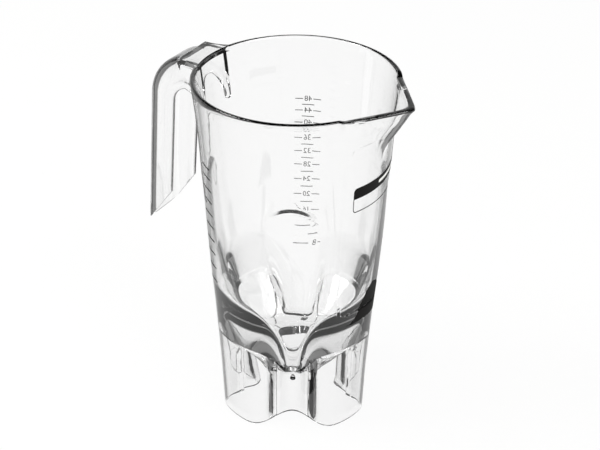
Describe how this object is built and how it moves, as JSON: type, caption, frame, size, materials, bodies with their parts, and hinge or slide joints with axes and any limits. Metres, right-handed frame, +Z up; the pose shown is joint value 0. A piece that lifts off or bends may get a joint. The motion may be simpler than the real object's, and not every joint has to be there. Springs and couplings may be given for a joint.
{
  "type": "blender jar",
  "caption": "Clear one-piece blender jar: fluted tapered vessel on a lobed skirt, with a pouring spout, a hooked open-channel handle and a cutter hole in its funnel floor.",
  "frame": {"origin": "on the jar's axis, in the plane of its foot", "axes": "+Z up along the vessel, +X towards the pouring spout, the handle on -X"},
  "size_m": [0.2037, 0.1396, 0.254],
  "materials": {
    "clear_plastic": "clear gloss",
    "black_print": "screen-printed ink",
    "white_print": "screen-printed ink"
  },
  "bodies": {
    "root": {"jar": "clear_plastic"}
  },
  "joints": []
}
